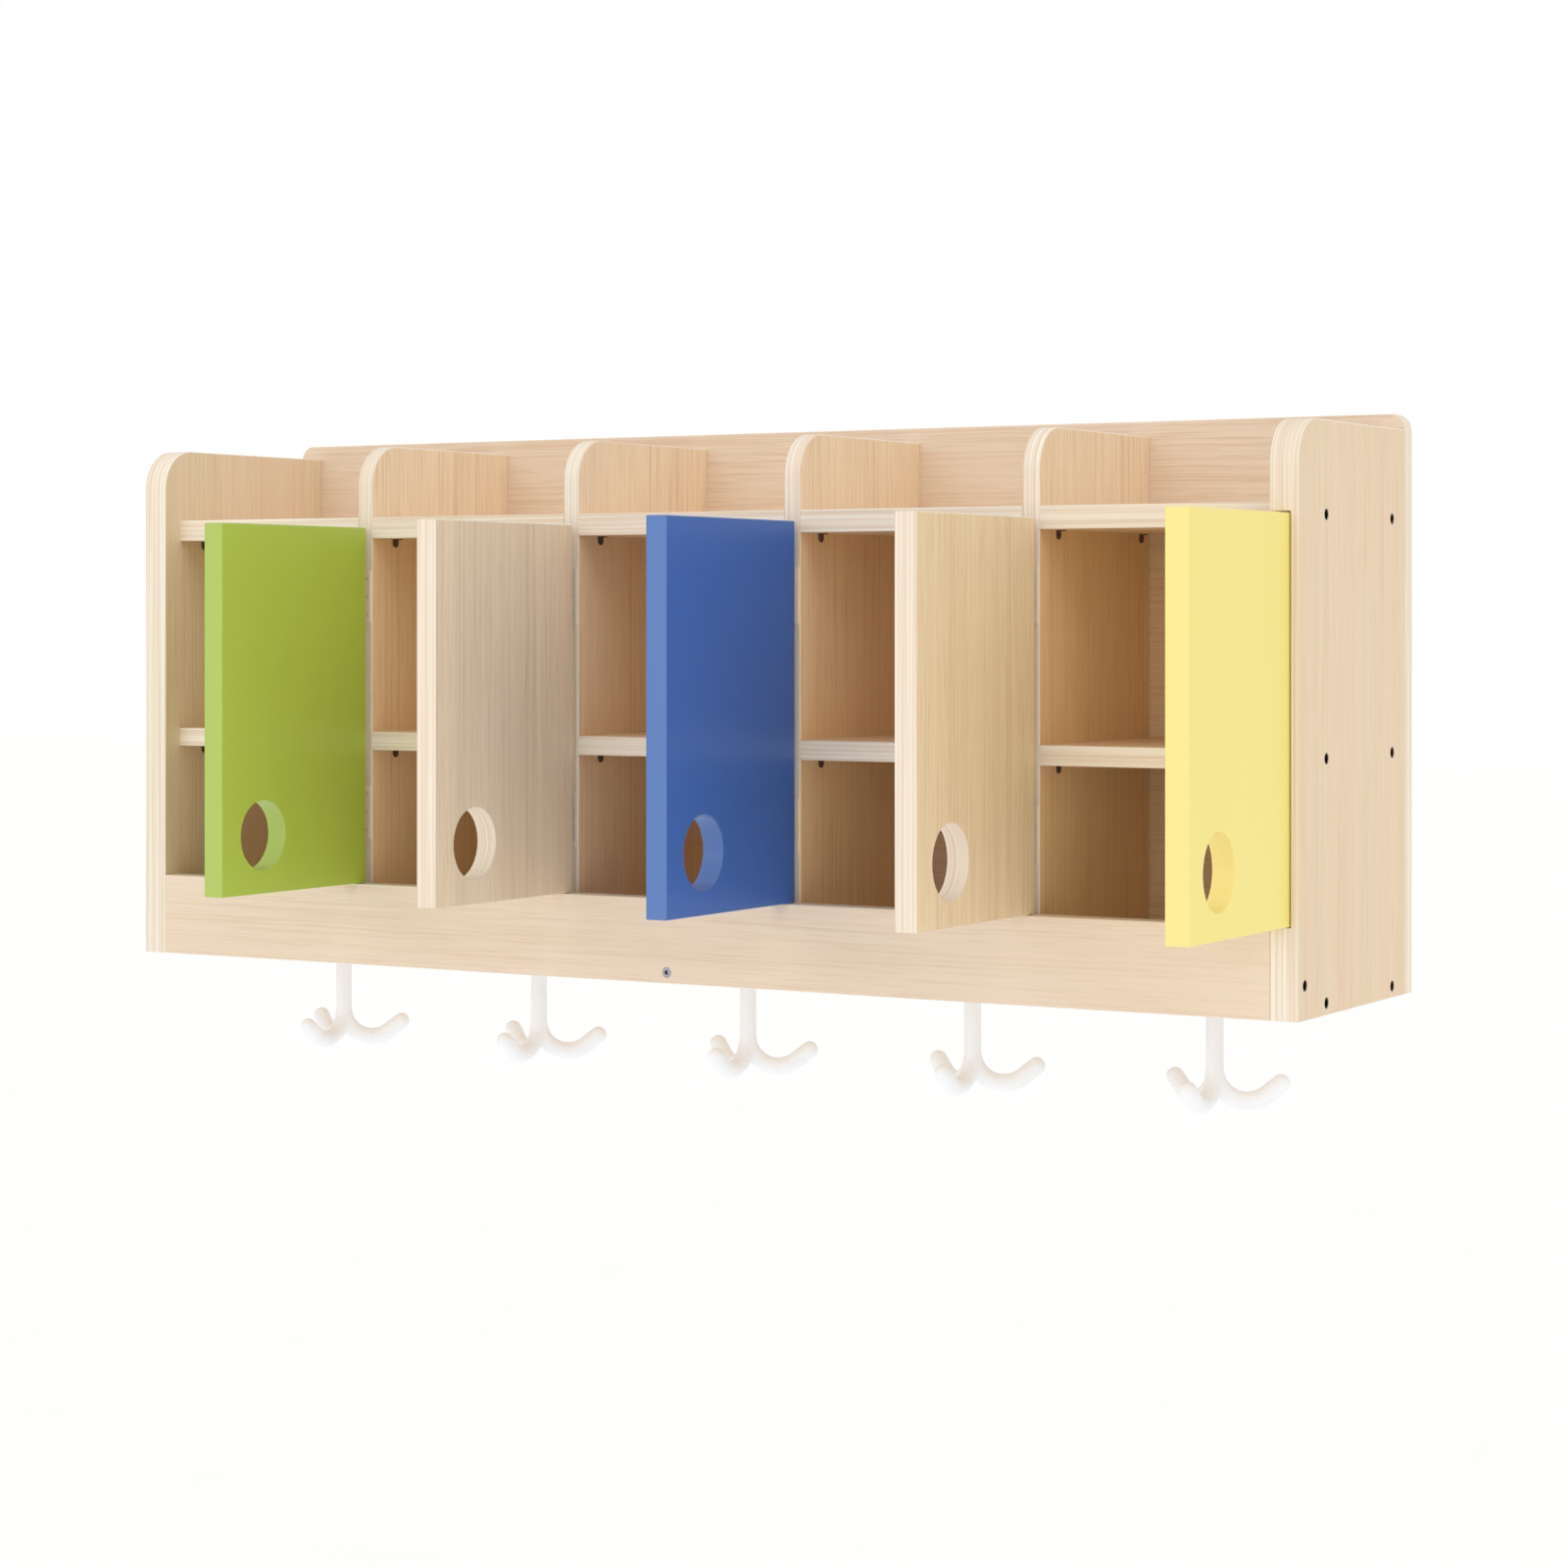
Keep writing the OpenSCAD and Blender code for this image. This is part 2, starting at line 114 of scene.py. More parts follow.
class CoatRackBoards(bpy.types.PropertyGroup):
    """Sizes of the boards that the frame's boxes don't give."""
    edge_radius: length("Edge rounding", "Radius of the long edges of the boards", 0.0009)
    shelf_extra: length("Middle shelves", "Extra thickness under the middle shelves", 0.0015)
    side_corner: length("Side corner", "Radius of the front top corner of sides and dividers", 0.038)
    back_corner: length("Back corner", "Radius of the top corners of the back panel", 0.014)
    rebate_width: length("Rebate width", "Width of the rebate behind the right side's front edge", 0.0179)
    rebate_over: length("Rebate clearance", "Height of the rebate over the top of the door", 0.0015)
    wall_hole: length("Wall hole", "Radius of the holes for the wall screws", 0.00275)
    wall_sink: length("Wall hole sink", "Radius of the countersink of the wall holes", 0.005)
    wall_sink_depth: length("Wall sink depth", "Depth of the countersink of the wall holes", 0.0025)
    wall_rise: length("Wall hole rise", "Distance between the upper and lower wall holes", 0.3)


class CoatRackDoors(bpy.types.PropertyGroup):
    """Sizes of the doors that the frame's boxes don't give."""
    edge_radius: length("Edge rounding", "Radius of the edges of the doors", 0.001)
    hole_radius: length("Finger hole", "Radius of the finger hole", 0.0315)
    hole_in: length("Hole from free edge", "Centre of the finger hole from the free edge", 0.0586)
    extra_drop: length("Extra drop", "Extra height of a door under its solid's bottom edge", 0.001)
    hole_up: length("Hole above bottom", "Centre of the finger hole above the bottom edge", 0.0519)


class CoatRackHooks(bpy.types.PropertyGroup):
    """Sizes of a three-armed hook."""
    wall_gap: length("From the wall", "Distance of the post's centre from the wall", 0.121)
    post_radius: length("Post radius", "Radius of the upright post", 0.0078)
    arm_radius: length("Arm radius", "Radius of an arm", 0.008)
    bend_radius: length("Bend radius", "Radius of an arm's bend, to its centre line", 0.028)
    drop: length("Drop", "Depth below the case at which the arms begin to bend out", 0.061)
    tail: length("Tail", "Straight length of an arm past its bend", 0.015)
    turn: angle("Arm turn", "Turn of an arm from straight down", 128)
    foot_radius: length("Foot radius", "Radius of the foot", 0.02)
    foot_thickness: length("Foot thickness", "Thickness of the foot", 0.004)
    foot_edge: length("Foot edge", "Rounding of the foot's lower rim", 0.0012)
    screw_circle: length("Screw circle", "Distance of the foot's screws from the post's centre", 0.0144)
    mesh_size: length("Mesh size", "Size of a facet of the moulded shape", 0.0011)
    passes: bpy.props.IntProperty(
        name="Smoothing", description="Passes that run the arms into the post", default=14, min=0)


class CoatRackScrews(bpy.types.PropertyGroup):
    """Sizes and places of the screws and shelf supports."""
    clearance: length("Clearance", "Gap round the head of a screw", 0.00015)
    case_head: length("Case screw head", "Radius of the head of a case screw", 0.0047)
    case_head_depth: length("Case head height", "Height of the head of a case screw", 0.004)
    case_sunk: length("Case head sunk", "Depth of a case screw's head below the panel", 0.0006)
    case_shank: length("Case shank", "Radius of the shank of a case screw", 0.0025)
    case_length: length("Case screw length", "Length of a case screw", 0.06)
    socket: length("Socket", "Radius of the six-sided socket of a screw", 0.0023)
    socket_depth: length("Socket depth", "Depth of the six-sided socket", 0.0026)
    case_front: length("Case screws, front", "Front case screws behind the front edge", 0.0612)
    case_rear: length("Case screws, rear", "Rear case screws before the rear edge", 0.0327)
    end_back: length("Apron end screw, back", "Screw in the apron's end behind the front", 0.0138)
    end_up: length("Apron end screw, up", "Screw in the apron's end above the bottom", 0.0284)
    apron_head: length("Apron screw head", "Radius of the head of the apron screw", 0.0045)
    apron_head_depth: length("Apron head height", "Height of the head of the apron screw", 0.003)
    small_head: length("Small screw head", "Radius of a countersunk head", 0.0036)
    small_head_depth: length("Small head height", "Height of a countersunk head", 0.0026)
    small_sunk: length("Small head sunk", "Depth of a countersunk head below its face", 0.0003)
    small_shank: length("Small shank", "Radius of the shank of a countersunk screw", 0.00175)
    panel_length: length("Panel screw length", "Length of the back and bottom screws", 0.04)
    foot_length: length("Foot screw length", "Length of the screws in a hook's foot", 0.018)
    hinge_head: length("Hinge screw head", "Radius of the head of a hinge screw", 0.0023)
    hinge_rise: length("Hinge screw rise", "Height of a hinge screw's head over its leaf", 0.0004)
    hinge_shank: length("Hinge shank", "Radius of the shank of a hinge screw", 0.00115)
    hinge_length: length("Hinge screw length", "Length of a hinge screw", 0.008)
    leaf_thickness: length("Leaf thickness", "Thickness of a hinge leaf", 0.0018)
    leaf_height: length("Leaf height", "Height of a hinge leaf", 0.05)
    leaf_margin: length("Leaf margin", "Hinge screws in from the right edge of a leaf", 0.0055)
    support_width: length("Support width", "Width of a shelf support", 0.0078)
    support_drop: length("Support drop", "Drop of a support below its shelf", 0.008)
    support_reach: length("Support reach", "Reach of a support under its shelf", 0.0058)
    support_limb: length("Support limb", "Thickness of a support's upright limb", 0.0014)
    support_flange: length("Support flange", "Thickness of the limb under the shelf", 0.0009)
    support_edge: length("Support edge", "Rounding of a support's edges", 0.0003)
    support_dimple: length("Support dimple", "Radius of the dimple before the peg", 0.0014)
    support_peg: length("Support peg", "Radius of a support's peg", 0.0025)
    support_peg_length: length("Peg length", "Length of a support's peg", 0.007)
    support_front: length("Supports, front", "Front supports behind the front of a shelf", 0.036)
    support_rear: length("Supports, rear", "Rear supports before the rear edge of the sides", 0.018)


class CoatRackColours(bpy.types.PropertyGroup):
    """Colours of the finishes."""
    birch: colour("Birch", "Pinkish tone of the wood laminate", (0.945, 0.715, 0.525))
    birch_pale: colour("Birch, pale", "Yellowish tone of the wood laminate", (0.87, 0.725, 0.49))
    birch_dark: colour("Birch, dark", "Tone of the darker growth lines", (0.7, 0.49, 0.31))
    door: colour("Door", "Main tone of the plain wood doors", (0.945, 0.745, 0.53))
    side: colour("Side", "Main tone of the side panels", (0.855, 0.645, 0.47))
    side_pale: colour("Side, pale", "Yellowish tone of the side panels", (0.785, 0.66, 0.44))
    panel: colour("Panel", "Main tone of the boards whose grain lies level", (0.885, 0.705, 0.56))
    panel_pale: colour("Panel, pale", "Yellowish tone of those boards", (0.845, 0.715, 0.535))
    panel_dark: colour("Panel, dark", "Tone of the growth lines in those boards", (0.72, 0.52, 0.36))
    back: colour("Back", "Main tone of the back panel's front and the shelves", (0.87, 0.705, 0.56))
    back_pale: colour("Back, pale", "Yellowish tone of those faces", (0.81, 0.685, 0.525))
    # Painted shade: this tint is multiplied onto the laminate below the top shelves, darker and warmer where
    # the lockers lie in shade
    inside: colour("Locker tint", "Warm tint of the laminate inside the lockers", (1.05, 0.965, 0.825))
    band: colour("Edge band", "Main tone of the edge bands", (0.925, 0.83, 0.7))
    band_dark: colour("Edge band, dark", "Tone of the lines in the edge bands", (0.76, 0.58, 0.41))
    green: colour("Green", "Green lacquer", (0.44, 0.58, 0.075))
    green_edge: colour("Green edge", "Edges of the green door", (0.445, 0.575, 0.12))
    blue: colour("Blue", "Blue lacquer", (0.045, 0.145, 0.5))
    blue_edge: colour("Blue edge", "Edges of the blue door", (0.1, 0.2, 0.49))
    yellow: colour("Yellow", "Yellow lacquer", (0.93, 0.79, 0.225))
    yellow_edge: colour("Yellow edge", "Edges of the yellow door", (0.965, 0.8, 0.275))
    ivory: colour("Ivory", "Plastic of the hooks", (0.95, 0.965, 0.985))
    brown: colour("Brown", "Plastic of the shelf supports", (0.11, 0.055, 0.032))
    hinge: colour("Hinge", "Cream lacquer of the hinges", (0.95, 0.83, 0.67))
    zinc: colour("Zinc", "Plated screws", (0.43, 0.41, 0.43))
    # Also the walls of every screw's six-sided socket, as painted shade in the recess
    black: colour("Black", "Blackened case screws", (0.006, 0.0055, 0.005))
    floor: colour("Floor", "Pale floor", screen(250, 250, 249))


class CoatRackStage(bpy.types.PropertyGroup):
    """Camera, floor and lights."""
    camera_place: bpy.props.FloatVectorProperty(
        name="Camera", description="Place of the camera", default=(1.66102, -2.9189, 0.11691),
        subtype="XYZ", unit="LENGTH")
    camera_turn: angle("Camera turn", "Turn of the level camera from straight at the wall", 30.11)
    lens: bpy.props.FloatProperty(name="Lens", description="Focal length in millimetres", default=80.672)
    shift: bpy.props.FloatProperty(
        name="Shift", description="Vertical shift of the picture", default=-0.1066)
    floor_drop: length("Floor drop", "Floor below the lowest point of the rack", 3.0)
    floor_size: length("Floor size", "Side of the square floor", 150.0)
    floor_glow: bpy.props.FloatProperty(
        name="Floor glow", description="Light that the floor gives of its own, to stay white", default=0.08)
    sky: bpy.props.FloatProperty(name="Sky", description="Strength of the even white light", default=0.77)
    front: bpy.props.FloatProperty(name="Front", description="Strength of the low front light", default=0.5)
    front_turn: angle("Front turn", "Turn of the front light from straight at the wall", -10)
    front_rise: angle("Front rise", "Height of the front light", 15)
    side: bpy.props.FloatProperty(name="Side", description="Strength of the high side light", default=0.6)
    side_turn: angle("Side turn", "Turn of the side light from straight at the wall", 70)
    side_rise: angle("Side rise", "Height of the side light", 45)
    softness: angle("Softness", "Angle that each light spans", 50)


GROUPS = {
    "coat_rack_boards": CoatRackBoards,
    "coat_rack_doors": CoatRackDoors,
    "coat_rack_hooks": CoatRackHooks,
    "coat_rack_screws": CoatRackScrews,
    "coat_rack_colours": CoatRackColours,
    "coat_rack_stage": CoatRackStage,
}


def pick(*objects):
    """Selects these objects alone and makes the first one active."""
    bpy.ops.object.select_all(action="DESELECT")
    for obj in objects:
        obj.select_set(True)
    bpy.context.view_layer.objects.active = objects[0]


def settle(obj):
    """Puts an object's place into its mesh."""
    pick(obj)
    bpy.ops.object.transform_apply(location=True, rotation=True, scale=True)
    return obj


def added(name):
    """Names the primitive that was just added and settles it."""
    obj = bpy.context.active_object
    obj.name = obj.data.name = name
    return settle(obj)


def add_block(name, lowest, highest):
    """A block between two corners."""
    bpy.ops.object.select_all(action="DESELECT")
    bpy.ops.mesh.primitive_cube_add(size=1, location=(lowest + highest) / 2)
    bpy.context.active_object.scale = highest - lowest
    return added(name)


def add_rod(name, start, along, reach, radius, end_radius=None, sides=48):
    """A rod, or a cone with an end radius, from a start point along a direction."""
    bpy.ops.object.select_all(action="DESELECT")
    bpy.ops.mesh.primitive_cone_add(
        vertices=sides, radius1=radius, radius2=radius if end_radius is None else end_radius, depth=reach,
        location=start + along * (reach / 2), rotation=UP.rotation_difference(along).to_euler())
    return added(name)


def join(name, objects):
    """Makes one object of several."""
    pick(*objects)
    if len(objects) > 1:
        bpy.ops.object.join()
    obj = bpy.context.active_object
    obj.name = obj.data.name = name
    return obj


def apply_modifier(obj, kind, **settings):
    """Adds a modifier with these settings and applies it."""
    modifier = obj.modifiers.new(kind, kind)
    for name, value in settings.items():
        setattr(modifier, name, value)
    pick(obj)
    bpy.ops.object.modifier_apply(modifier=modifier.name)


def combine(obj, operation, others):
    """Cuts other objects from this one, or adds them to it."""
    tool = join(obj.name + "_tool", others)
    apply_modifier(obj, "BOOLEAN", operation=operation, object=tool, solver="EXACT")
    bpy.data.meshes.remove(tool.data)


def add_bores(places, depth, radius, end_radius=None):
    """Cutting rods that reach this deep from each place along its direction."""
    return [add_rod("bore", place - along * OVERRUN, along, OVERRUN + depth, radius, end_radius)
            for place, along in places]


def round_edges(obj, radius, wanted=None, steps=EDGE_STEPS):
    """Rounds the sharp edges, or those between two points that the test wants."""
    pick(obj)
    bpy.ops.object.mode_set(mode="EDIT")
    bpy.ops.mesh.select_mode(type="EDGE")
    bpy.ops.mesh.select_all(action="DESELECT")
    bpy.ops.mesh.edges_select_sharp(sharpness=SHARP)
    if wanted:
        bpy.ops.object.mode_set(mode="OBJECT")
        mesh = obj.data
        chosen = [edge for edge in mesh.edges
                  if edge.select and wanted(*[mesh.vertices[i].co for i in edge.vertices])]
        for element in (*mesh.vertices, *mesh.edges, *mesh.polygons):
            element.select = False
        for edge in chosen:
            edge.select = True
            for i in edge.vertices:
                mesh.vertices[i].select = True
        bpy.ops.object.mode_set(mode="EDIT")
    bpy.ops.mesh.bevel(offset=radius, segments=steps, affect="EDGES")
    bpy.ops.object.mode_set(mode="OBJECT")


def shade(obj):
    """Smooth shading that keeps flat faces flat."""
    pick(obj)
    bpy.ops.object.shade_smooth_by_angle(angle=SMOOTH)
    apply_modifier(obj, "WEIGHTED_NORMAL", keep_sharp=True)


def copy_to(obj, place, along, turn=0.0):
    """A copy with its own mesh, with +Z turned along a direction and its origin put at a place."""
    copy = obj.copy()
    copy.data = obj.data.copy()
    bpy.context.collection.objects.link(copy)
    turned = UP.rotation_difference(along).to_matrix().to_4x4() @ Matrix.Rotation(turn, 4, "Z")
    copy.matrix_world = Matrix.Translation(place) @ turned
    return settle(copy)


def repeat(name, pattern, places):
    """Copies a piece to each place and direction, joins the copies and drops the pattern."""
    # Each is turned further than the last, so that the recesses don't line up
    turn = math.radians(37)
    copies = [copy_to(pattern, place, along, i * turn) for i, (place, along) in enumerate(places)]
    bpy.data.meshes.remove(pattern.data)
    return join(name, copies)


def hand_over(obj, body, slot, *nodes):
    """Ties a finished piece to its body and hides the nodes that it stands for; the slot is not used."""
    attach(obj, body)
    if nodes:
        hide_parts(*nodes)


def middle(node):
    """Centre of a node's box."""
    lowest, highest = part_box(node)
    return (lowest + highest) / 2


def upright_name(i):
    """Node of upright i, counted from the left side, 0, to the right side."""
    return "left_side" if i == 0 else "right_side" if i == BAYS else f"divider_{i}"


def case_screw_places():
    """Start and direction of each case screw, left side first."""
    sizes = bpy.context.scene.coat_rack_screws
    lowest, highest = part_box("left_side")
    heights = [middle("top_shelf_1").z, middle("middle_shelf_1").z, middle("bottom_board").z]
    places = [(y, z) for z in heights
              for y in (lowest.y + sizes.case_front, highest.y - sizes.case_rear)]
    places.append((lowest.y + sizes.end_back, lowest.z + sizes.end_up))
    left, right = lowest.x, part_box("right_side")[1].x
    return ([(Vector((left, y, z)), RIGHT) for y, z in places]
            + [(Vector((right, y, z)), -RIGHT) for y, z in places])


def back_screw_places():
    """Start and direction of the screws through the back panel."""
    lowest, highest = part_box("left_side")
    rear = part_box("back_panel")[1].y
    height_shares = (0.12, 0.5, 0.88)
    return [(Vector((middle(upright_name(i)).x, rear, lowest.z + share * (highest.z - lowest.z))), -REARWARD)
            for i in range(BAYS + 1) for share in height_shares]


def apron_screw_places():
    """Start and direction of the screw in the front of the apron."""
    place = middle("apron_screw")
    place.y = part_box("front_apron")[0].y
    return [(place, REARWARD)]


def bottom_screw_places():
    """Start and direction of the screws up through the bottom board."""
    lowest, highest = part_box("left_side")
    depth_shares = (0.28, 0.8)
    return [(Vector((middle(upright_name(i)).x, lowest.y + share * (highest.y - lowest.y), lowest.z)), UP)
            for i in range(1, BAYS) for share in depth_shares]


def wall_hole_places():
    """Start and direction of the holes for the wall screws, from inside the case."""
    rise = bpy.context.scene.coat_rack_boards.wall_rise
    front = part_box("back_panel")[0].y
    return [(Vector((middle(f"top_shelf_{k}").x, front, z)), REARWARD)
            for k in (1, BAYS) for z in (-rise / 2, rise / 2)]


def shelf_box(kind, k):
    """Corners of a shelf. The middle ones are a little thicker than their solids."""
    lowest, highest = (Vector(corner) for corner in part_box(f"{kind}_{k}"))
    if kind == "middle_shelf":
        lowest.z -= bpy.context.scene.coat_rack_boards.shelf_extra
    return lowest, highest


def hook_place(k):
    """Where the centre of hook k meets the bottom board."""
    gap = bpy.context.scene.coat_rack_hooks.wall_gap
    return Vector((middle(f"top_shelf_{k}").x, -gap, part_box("bottom_board")[0].z))


def hook_screw_places(top):
    """Start and direction of the three screws in the foot of a hook whose top is here."""
    sizes = bpy.context.scene.coat_rack_hooks
    foot = top - UP * sizes.foot_thickness
    return [(foot + sizes.screw_circle * Vector((math.cos(turn), math.sin(turn), 0)), UP)
            for turn in HOOK_TURNS]


def new_material(name, values):
    """A material, its node tree and its surface node, with constant values on the surface."""
    material = bpy.data.materials.new(name)
    material.use_nodes = True
    tree = material.node_tree
    surface = tree.nodes["Principled BSDF"]
    for socket, value in values.items():
        surface.inputs[socket].default_value = value
    return material, tree, surface


def add_node(tree, kind, inputs, **settings):
    """A shader node, with links from the inputs that are sockets and values on the others."""
    node = tree.nodes.new(kind)
    for name, value in settings.items():
        setattr(node, name, value)
    for name, value in inputs.items():
        if isinstance(value, bpy.types.NodeSocket):
            tree.links.new(value, node.inputs[name])
        else:
            node.inputs[name].default_value = value
    return node


def object_place(tree):
    """Coordinates in the rack's own frame."""
    return add_node(tree, "ShaderNodeTexCoord", {}).outputs["Object"]


def streaks(tree, place, turns, detail, output=0):
    """Noise with this many turns per metre along each axis."""
    mapped = add_node(tree, "ShaderNodeMapping", {"Vector": place, "Scale": turns})
    noise = add_node(tree, "ShaderNodeTexNoise", {
        "Vector": mapped.outputs["Vector"], "Scale": 1.0, "Detail": detail})
    return noise.outputs[output]


def spread(tree, value, low, high, to_low=0.0, to_high=1.0):
    """Stretches the part of a value between low and high, and holds it at the ends."""
    return add_node(tree, "ShaderNodeMapRange", {
        "Value": value, "From Min": low, "From Max": high, "To Min": to_low, "To Max": to_high}).outputs[0]


def mixed(tree, first, second, share, blend="MIX"):
    """Mixes two colours by a share that changes over the surface."""
    node = tree.nodes.new("ShaderNodeMix")
    node.data_type = "RGBA"
    node.blend_type = blend
    sockets = {s.identifier: s for s in node.inputs}
    tree.links.new(share, sockets["Factor_Float"])
    for name, tone in (("A_Color", first), ("B_Color", second)):
        if isinstance(tone, bpy.types.NodeSocket):
            tree.links.new(tone, sockets[name])
        else:
            sockets[name].default_value = (*tone, 1.0)
    return next(s for s in node.outputs if s.identifier == "Result_Color")


def add_bump(tree, surface, height, strength, distance):
    """Links a bump with this pattern of heights to the surface."""
    bump = add_node(tree, "ShaderNodeBump", {"Strength": strength, "Distance": distance, "Height": height})
    tree.links.new(bump.outputs["Normal"], surface.inputs["Normal"])


def grain_turns(grain, across, along, seed=11.0):
    """Turns per metre for each axis. A grain names the part that X, Y and Z play."""
    turns = {"across": across, "along": along, "seed": seed}
    return tuple(turns[part] for part in grain)


def wandering(tree, amount, turns):
    """Object coordinates that wander by an amount, so that straight lines waver."""
    place = object_place(tree)
    drift = streaks(tree, place, turns, 2.0, "Color")
    return add_node(tree, "ShaderNodeVectorMath", {0: drift, 1: (amount,) * 3, 2: place},
                    operation="MULTIPLY_ADD").outputs[0]


def grained(tree, place, grain, turns, detail, part, to=(0.0, 1.0)):
    """Noise along the grain, with the part of its range between two values stretched to two others."""
    return spread(tree, streaks(tree, place, grain_turns(grain, *turns), detail), *part, *to)


def laminate(name, grain, main, pale, dark, stripes, lines, fine, inside=0.0):
    """Satin wood laminate with straight grain in patches, and painted shade inside the lockers: a darker,
    warmer tint below the top shelves.

    stripes and lines are strengths, and fine is the count of fine growth lines a metre.
    """
    material, tree, surface = new_material(name, {"Roughness": 0.5, "Specular IOR Level": 0.3})
    place = wandering(tree, 0.009, grain_turns(grain, 8.0, 2.6, 3.0))
    hue = grained(tree, place, grain, turns=(75.0, 1.1, 17.0), detail=4.0, part=(0.38, 0.62),
                  to=(0.5 - stripes / 2, 0.5 + stripes / 2))
    broad = grained(tree, place, grain, turns=(26.0, 1.1), detail=2.0, part=(0.4, 0.66), to=(0.0, 0.14))
    patches = grained(tree, place, grain, turns=(20.0, 2.4, 41.0), detail=2.0, part=(0.38, 0.6),
                      to=(0.35, 1.0))
    growth = grained(tree, place, grain, turns=(fine, 3.0, 23.0), detail=1.5, part=(0.47, 0.66),
                     to=(0.0, lines))
    dashes = grained(tree, place, grain, turns=(1.6 * fine, 20.0, 31.0), detail=2.0, part=(0.52, 0.72),
                     to=(0.0, 0.9 * lines))
    growth = add_node(tree, "ShaderNodeMath", {0: growth, 1: patches}, operation="MULTIPLY").outputs[0]
    tone = mixed(tree, main, pale, hue)
    for share in (broad, growth, dashes):
        tone = mixed(tree, tone, dark, share)
    # Painted shade: below the top shelves' undersides the tone is multiplied by the darker, warmer locker
    # tint, by this share
    if inside:
        under_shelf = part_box("top_shelf_1")[0].z
        fade = 0.002
        height = add_node(tree, "ShaderNodeSeparateXYZ", {"Vector": object_place(tree)}).outputs["Z"]
        within = spread(tree, height, under_shelf, under_shelf + fade, inside, 0.0)
        tone = mixed(tree, tone, bpy.context.scene.coat_rack_colours.inside, within, "MULTIPLY")
    tree.links.new(tone, surface.inputs["Base Color"])
    add_bump(tree, surface, dashes, strength=0.1, distance=0.0002)
    return material


def edge_band(name, grain):
    """Pale edge band with thin lines along the board."""
    colours = bpy.context.scene.coat_rack_colours
    material, tree, surface = new_material(name, {"Roughness": 0.42, "Specular IOR Level": 0.3})
    place = wandering(tree, 0.001, grain_turns(grain, 30.0, 9.0, 9.0))
    lines = grained(tree, place, grain, turns=(620.0, 3.0), detail=1.0, part=(0.45, 0.6), to=(0.0, 0.6))
    broad = grained(tree, place, grain, turns=(230.0, 2.4, 19.0), detail=2.0, part=(0.44, 0.66),
                    to=(0.0, 0.35))
    tone = mixed(tree, colours.band, colours.band_dark, broad)
    tone = mixed(tree, tone, colours.band_dark, lines)
    tree.links.new(tone, surface.inputs["Base Color"])
    add_bump(tree, surface, lines, strength=0.08, distance=0.0002)
    return material


def uneven(name, values, tone, other, gloss, turns, detail):
    """A plain finish whose tone drifts to a share of itself, and its roughness between two values."""
    material, tree, surface = new_material(name, values)
    place = object_place(tree)
    drift = spread(tree, streaks(tree, place, turns, detail), 0.3, 0.7)
    second = tuple(other * channel for channel in tone)
    tree.links.new(mixed(tree, tone, second, drift), surface.inputs["Base Color"])
    tree.links.new(spread(tree, drift, 0.0, 1.0, *gloss), surface.inputs["Roughness"])
    return material, tree, surface, place


def lacquer(name, tone):
    """Sprayed lacquer with a faint ripple and small changes of tone and gloss."""
    material, tree, surface, place = uneven(
        name, {"Specular IOR Level": 0.45}, tone, other=0.985, gloss=(0.3, 0.34),
        turns=(9.0, 9.0, 5.0), detail=1.0)
    ripple = streaks(tree, place, (420.0,) * 3, 1.0)
    add_bump(tree, surface, ripple, strength=0.02, distance=0.0001)
    return material


def moulded(name, tone, gloss, change):
    """Moulded plastic with a faint flow pattern."""
    material, tree, surface, place = uneven(
        name, {}, tone, other=change, gloss=(gloss, gloss + 0.06), turns=(40.0, 40.0, 18.0), detail=2.0)
    skin = streaks(tree, place, (500.0,) * 3, 1.0)
    add_bump(tree, surface, skin, strength=0.01, distance=0.0001)
    return material


def metal(name, tone, roughness, metallic=1.0, shine=0.5):
    """Plated, lacquered or blackened metal with uneven gloss."""
    return uneven(name, {"Metallic": metallic, "Specular IOR Level": shine}, tone, other=0.88,
                  gloss=(roughness, roughness + 0.12), turns=(260.0, 260.0, 60.0), detail=3.0)[0]


